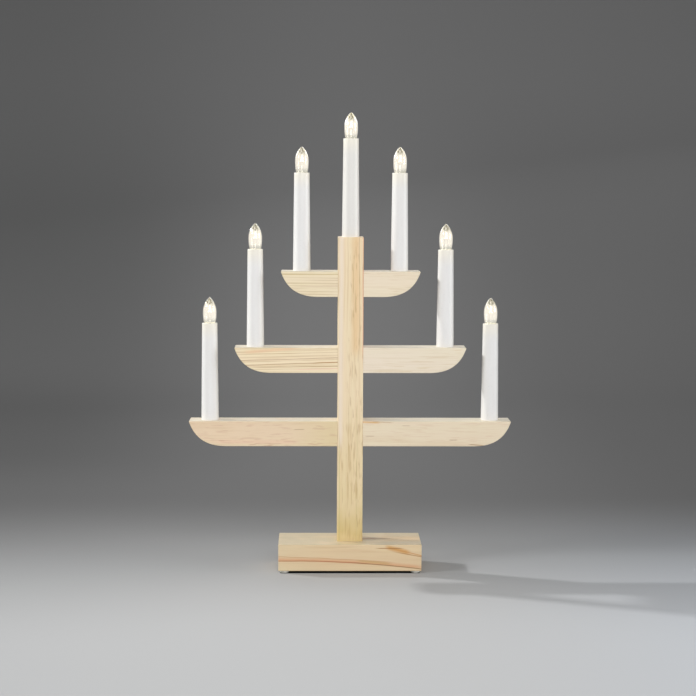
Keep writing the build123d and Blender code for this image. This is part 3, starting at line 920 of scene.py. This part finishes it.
# Tints painted at the bulbs' tips for the dark seen through the clear glass, darker for the top
# bulb
tip_dark_tint = shade(206, 199, 176)
top_tip_dark_tint = shade(184, 174, 132)
shells = bmesh.new()
lowest_cap = min(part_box(f"bulb_cap_{name}")[0].z for name in candle_names)
shell_drop = lowest_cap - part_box("holder_shells")[0].z
for name in candle_names:
    cap_low, cap_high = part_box(f"bulb_cap_{name}")
    middle = (cap_low.x + cap_high.x) / 2
    cap_radius = (cap_high.x - cap_low.x) / 2
    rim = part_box(f"candle_sleeve_{name}")[1].z
    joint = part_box(f"bulb_contact_{name}")[0].z + solder_height
    whites, tip_tint = (top_sleeve_shaded_whites, top_tip_dark_tint) if name == "top" else (sleeve_whites, tip_dark_tint)
    dress(f"candle_sleeve_{name}", candle_plastic(f"candle_plastic_{name}", rim, *whites))
    dress(f"lamp_holder_{name}", moulded(f"holder_plastic_{name}", shade(232, 228, 214), 0.5))
    dress(f"bulb_glass_{name}", bulb_glass(f"bulb_glass_{name}", middle, rim, tip_tint))
    dress(f"bulb_contact_{name}", bulb_foot(f"bulb_foot_{name}", joint))
    make_cap(name, middle, cap_low.z, cap_high.z, cap_radius)
    join_into(shells, threaded_shell(
        middle, cap_low.z - shell_drop, cap_low.z, cap_radius + thread_fit, cap_low.z + neck_foot,
    ))
    make_bulb_inside(name, middle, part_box(f"bulb_filament_{name}")[0].z)
settle(
    shells, "threaded_shells", "stand", brass, ("holder_shells",), wall=metal_wall,
    offset=1.0,
)


# Floor, backdrop, light and camera

# Where the painted shadow in the gap under the base fades out on the floor, aside and to the front
gap_shadow_sides = (0.0775, 0.0785)
gap_shadow_fronts = (0.0316, -base_front)


def stage_paper():
    """Pale paper, darker up the backdrop, with painted shade to the left, low at the sides of the
    backdrop and far to the left, and a painted shadow in the gap under the base.
    """
    finish, tree, surface = start_finish("stage_paper")
    place = object_place(tree)
    axes = axes_of(tree, place)
    aside = maths(tree, "ABSOLUTE", axes["X"])
    away = maths(tree, "ABSOLUTE", axes["Y"])
    back = spread(tree, axes["Y"], -0.36, 0.44)
    cloud = speckle(tree, place, 1.2, 1.0)
    pale = blended(tree, cloud, shade(200, 201, 201), shade(204, 205, 206))
    cool = spread(tree, axes["X"], 0.05, 0.55)
    floor_tone = blended(tree, cool, pale, shade(212, 217, 224))
    paper = blended(tree, back, floor_tone, shade(117, 117, 117))
    # Painted shade to the left, low at the sides of the backdrop and far to the left
    left = spread(tree, axes["X"], -0.75, 0.15, 0.33, 0.0)
    low = spread(tree, axes["Z"], 0.2, 0.7, 0.2, 0.0)
    edge = product(tree, product(tree, back, spread(tree, aside, 0.05, 0.50)), low)
    far = product(
        tree, spread(tree, axes["Y"], 0.4, 0.8), spread(tree, axes["Y"], 1.2, 1.7, 0.2, 0.0)
    )
    far_left_shade = product(tree, far, spread(tree, axes["X"], -0.6, 0.0, 1.0, 0.0))
    # Painted shadow in the gap under the base
    gap = product(
        tree, spread(tree, aside, *gap_shadow_sides, 0.97, 0.0), spread(tree, away, *gap_shadow_fronts, 1.0, 0.0)
    )
    for painted_shade in (left, edge, far_left_shade, gap):
        paper = blended(tree, painted_shade, paper, black)
    cover(tree, surface, {"Base Color": paper, "Roughness": 0.9, "Specular IOR Level": 0.1})
    return finish


def make_stage():
    """A floor that sweeps up into a backdrop."""
    reach = 7.0
    wall = 2.2
    wall_top = 4.5
    bend = 0.8
    bend_steps = 12
    profile = [(-reach, 0.0), (-1.0, 0.0), (0.0, 0.0), (wall - bend, 0.0)]
    for step in range(1, bend_steps + 1):
        angle = math.pi / 2 * step / bend_steps
        profile.append((wall - bend + bend * math.sin(angle), bend - bend * math.cos(angle)))
    profile.append((wall, wall_top))
    shape = bmesh.new()
    chain(shape, [(-reach, depth, height) for depth, height in profile])
    grown = bmesh.ops.extrude_edge_only(shape, edges=shape.edges[:])["geom"]
    bmesh.ops.translate(shape, verts=only(grown, bmesh.types.BMVert), vec=(2 * reach, 0, 0))
    for face in shape.faces:
        face.smooth = True
    mesh = bpy.data.meshes.new("stage")
    shape.to_mesh(mesh)
    shape.free()
    mesh.materials.append(stage_paper())
    stage = bpy.data.objects.new("stage", mesh)
    bpy.context.scene.collection.objects.link(stage)


def hang_lamp(lamp, place, toward):
    """Hangs a lamp in its place, turned the way it shines, and returns what holds it."""
    holder = bpy.data.objects.new(lamp.name, lamp)
    holder.location = place
    holder.rotation_euler = toward.to_track_quat("-Z", "Y").to_euler()
    bpy.context.scene.collection.objects.link(holder)
    return holder


def soft_light(name, place, aim, size, power):
    """A lamp that is a bright rectangle, aimed at a point."""
    lamp = bpy.data.lights.new(name, "AREA")
    lamp.shape = "RECTANGLE"
    lamp.size, lamp.size_y = size
    lamp.energy = power
    hang_lamp(lamp, place, Vector(aim) - Vector(place)).visible_camera = False


def low_light(name, side, width, strength):
    """Even light from one side, as soft as a lamp that is so many degrees wide."""
    lamp = bpy.data.lights.new(name, "SUN")
    lamp.angle = math.radians(width)
    lamp.energy = strength
    hang_lamp(lamp, foot_of_all, -Vector(side))


def make_camera():
    """The camera of the photograph, from its place, its three turns and its focal length."""
    place = (-0.04127, -1.98265, 0.46105)
    yaw, pitch, roll = 0.01954, 0.10618, 0.0040
    focal_pixels, frame_pixels = 1780.0, 696.0
    ahead = Vector((
        math.sin(yaw) * math.cos(pitch), math.cos(yaw) * math.cos(pitch), -math.sin(pitch),
    ))
    right = Vector((math.cos(yaw), -math.sin(yaw), 0.0))
    up = right.cross(ahead)
    turned_right = right * math.cos(roll) + up * math.sin(roll)
    turned_up = up * math.cos(roll) - right * math.sin(roll)
    lens = bpy.data.cameras.new("camera")
    lens.sensor_width = 36.0
    lens.lens = focal_pixels / frame_pixels * lens.sensor_width
    lens.clip_start, lens.clip_end = 0.05, 50.0
    camera = bpy.data.objects.new("camera", lens)
    bpy.context.scene.collection.objects.link(camera)
    turn = Matrix((turned_right, turned_up, -ahead)).transposed()
    camera.matrix_world = Matrix.Translation(place) @ turn.to_4x4()
    bpy.context.scene.camera = camera


# What the lamps are aimed at, and the grey of the room around
foot_of_all = (0.0, 0.0, 0.0)
middle_of_all = (0.0, 0.0, 0.25)
room_grey = 0.22

make_stage()
soft_light("overhead_softbox", (0.0, -0.4, 2.6), middle_of_all, (2.0, 2.0), 4.0)
soft_light("front_softbox", (0.2, -2.9, 1.6), middle_of_all, (2.4, 1.8), 48.0)
soft_light("back_left_key", (-1.92, 0.73, 1.24), foot_of_all, (0.09, 0.09), 31.5)
soft_light("front_left_key", (-1.90, -0.78, 1.24), foot_of_all, (0.5, 0.5), 15.5)
low_light("right_fill", (4.2, -1.0, 0.65), 30.0, 1.12)
soft_light("rim_softbox", (-0.2, 1.9, 0.9), middle_of_all, (2.4, 0.5), 8.0)
world = bpy.data.worlds.new("room")
world.use_nodes = True
world.node_tree.nodes["Background"].inputs["Color"].default_value = (
    room_grey, room_grey, room_grey, 1.0,
)
bpy.context.scene.world = world
bpy.context.scene.view_settings.view_transform = "Standard"
make_camera()
